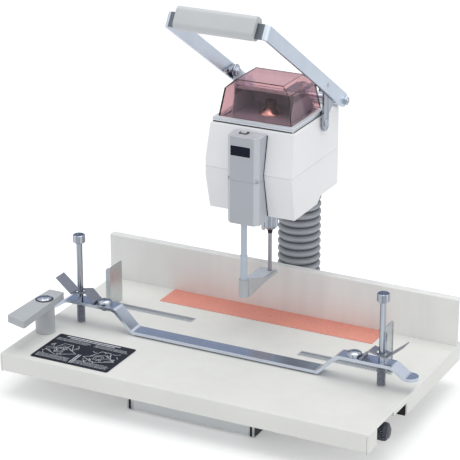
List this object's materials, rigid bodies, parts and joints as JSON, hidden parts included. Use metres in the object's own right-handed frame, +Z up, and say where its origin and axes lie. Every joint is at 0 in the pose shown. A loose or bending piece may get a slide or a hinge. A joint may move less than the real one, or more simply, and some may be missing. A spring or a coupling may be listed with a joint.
{
  "type": "paper drill",
  "caption": "Desk paper drill: a lever pulls a motor head with a hollow bit down a column, over a wide table with a fence, side guides and a clamp bar.",
  "frame": {"origin": "middle of the footprint on the desk", "axes": "+X to the operator's right along the table, +Y away from the operator towards the column, +Z up"},
  "size_m": [0.616, 0.47, 0.5989],
  "materials": {
    "table_paint": "satin",
    "base_paint": "satin",
    "rail_metal": "satin",
    "dark_metal": "satin",
    "steel": "satin",
    "chrome": "polished",
    "feet_rubber": "matt",
    "bellows_rubber": "matt",
    "knob_plastic": "gloss",
    "strip_plastic": "matt",
    "plate_black": "gloss",
    "track_plastic": "matt",
    "lever_metal": "satin",
    "bar_metal": "satin",
    "shell_plastic": "satin",
    "cover_plastic": "matt",
    "casting": "matt",
    "bronze": "satin",
    "silver_trim": "satin",
    "tray_plastic": "matt",
    "copper": "polished",
    "motor_paint": "satin",
    "belt_rubber": "matt",
    "lamp_plastic": "gloss",
    "inlet_plastic": "matt",
    "smoky_clear": "gloss",
    "black_steel": "satin",
    "bit_steel": "satin",
    "grip_metal": "satin"
  },
  "bodies": {
    "base": {"base_pan": "base_paint", "rubber_feet": "feet_rubber", "slide_rails": "rail_metal", "column": "chrome", "column_foot": "dark_metal", "top_block": "steel", "return_spring": "steel", "bellows": "bellows_rubber"},
    "table": {"table_top": "table_paint", "back_fence": "table_paint", "drill_strip": "strip_plastic", "instruction_plate": "plate_black", "guide_tracks": "track_plastic", "table_runners": "rail_metal", "table_racks": "steel", "clamp_posts": "chrome", "bar_springs": "steel"},
    "knob": {"adjust_shaft": "steel", "adjust_knob": "knob_plastic"},
    "lever": {"lock_lever": "lever_metal", "lock_stud": "chrome"},
    "brake": {"brake_rod": "steel"},
    "clamp": {"clamp_bar": "bar_metal", "clamp_pad": "feet_rubber", "bar_nuts": "chrome"},
    "left_plate": {"left_lock_plate": "steel"},
    "right_plate": {"right_lock_plate": "steel"},
    "left_guide": {"left_side_guide": "bar_metal"},
    "right_guide": {"right_side_guide": "bar_metal"},
    "head": {"head_frame": "casting", "column_bushes": "bronze", "upper_shell": "shell_plastic", "lower_shell": "shell_plastic", "front_cover": "cover_plastic", "name_plate": "silver_trim", "case_screws": "chrome", "trim_frame": "silver_trim", "chip_tray": "tray_plastic", "chip_cone": "copper", "motor": "motor_paint", "drive_belt": "belt_rubber", "spindle_bearings": "steel", "work_lamp": "lamp_plastic", "side_brackets": "chrome", "bracket_rod": "steel", "presser_spring": "steel", "power_inlet": "inlet_plastic"},
    "cover": {"clear_cover": "smoky_clear"},
    "button": {"cover_button": "cover_plastic"},
    "spindle": {"spindle": "steel", "chuck": "chrome", "collet_nut": "black_steel", "drill_bit": "bit_steel"},
    "rotor": {"motor_pulley": "steel"},
    "presser": {"presser_rod": "chrome", "presser_foot": "lever_metal", "foot_plate": "chrome"},
    "handle": {"handle_strap": "bar_metal", "handle_grip": "grip_metal", "handle_pins": "steel"}
  },
  "joints": [
    {"name": "table_slide", "type": "slide", "parent": "base", "child": "table", "axis": [0, 1, 0], "range_m": [-0.012, 0.012]},
    {"name": "knob_turn", "type": "hinge", "parent": "base", "child": "knob", "pos_m": [0, -0.171, 0.0445], "axis": [1, 0, 0], "range_deg": [-90, 90]},
    {"name": "lock_lever_turn", "type": "hinge", "parent": "table", "child": "lever", "pos_m": [-0.281, -0.136, 0.068], "axis": [0, 0, 1], "range_deg": [0, 60]},
    {"name": "brake_slide", "type": "slide", "parent": "table", "child": "brake", "axis": [1, 0, 0], "range_m": [0, 0.001]},
    {"name": "clamp_lift", "type": "slide", "parent": "table", "child": "clamp", "axis": [0, 0, 1], "range_m": [0, 0.055], "deforming": ["bar_springs"]},
    {"name": "left_plate_tilt", "type": "hinge", "parent": "clamp", "child": "left_plate", "pos_m": [-0.223, -0.0795, 0.1085], "axis": [0, -1, 0], "range_deg": [-8, 8]},
    {"name": "right_plate_tilt", "type": "hinge", "parent": "clamp", "child": "right_plate", "pos_m": [0.223, -0.0795, 0.1085], "axis": [0, 1, 0], "range_deg": [-8, 8]},
    {"name": "left_guide_slide", "type": "slide", "parent": "table", "child": "left_guide", "axis": [1, 0, 0], "range_m": [-0.0055, 0.1305]},
    {"name": "right_guide_slide", "type": "slide", "parent": "table", "child": "right_guide", "axis": [1, 0, 0], "range_m": [-0.127, 0.009]},
    {"name": "head_slide", "type": "slide", "parent": "base", "child": "head", "axis": [0, 0, -1], "range_m": [0, 0.067], "stiffness_N_per_m": 500, "springref_m": -0.18, "deforming": ["return_spring", "bellows"]},
    {"name": "handle_swing", "type": "hinge", "parent": "base", "child": "handle", "pos_m": [0, 0.159, 0.4053], "axis": [1, 0, 0], "range_deg": [0, 52]},
    {"name": "presser_slide", "type": "slide", "parent": "head", "child": "presser", "axis": [0, 0, 1], "range_m": [0, 0.05], "stiffness_N_per_m": 150, "springref_m": -0.03, "deforming": ["presser_spring"]},
    {"name": "spindle_spin", "type": "hinge", "parent": "head", "child": "spindle", "pos_m": [0, 0.068, 0.311], "axis": [0, 0, 1], "continuous": true},
    {"name": "motor_spin", "type": "hinge", "parent": "head", "child": "rotor", "pos_m": [0.036, 0.118, 0.351], "axis": [0, 0, 1], "continuous": true},
    {"name": "cover_hinge", "type": "hinge", "parent": "head", "child": "cover", "pos_m": [0, 0.1186, 0.4056], "axis": [-1, 0, 0], "range_deg": [0, 55]},
    {"name": "button_press", "type": "slide", "parent": "head", "child": "button", "axis": [0, 0, -1], "range_m": [0, 0.002], "stiffness_N_per_m": 500, "springref_m": -0.001}
  ],
  "couplings": [
    {"joint": "knob_turn", "follows": "table_slide", "rad_per_m": -125},
    {"joint": "brake_slide", "follows": "lock_lever_turn", "m_per_rad": 0.00095},
    {"joint": "handle_swing", "follows": "head_slide", "rad_per_m": 13.52},
    {"joint": "motor_spin", "follows": "spindle_spin", "ratio": 1.5128}
  ]
}
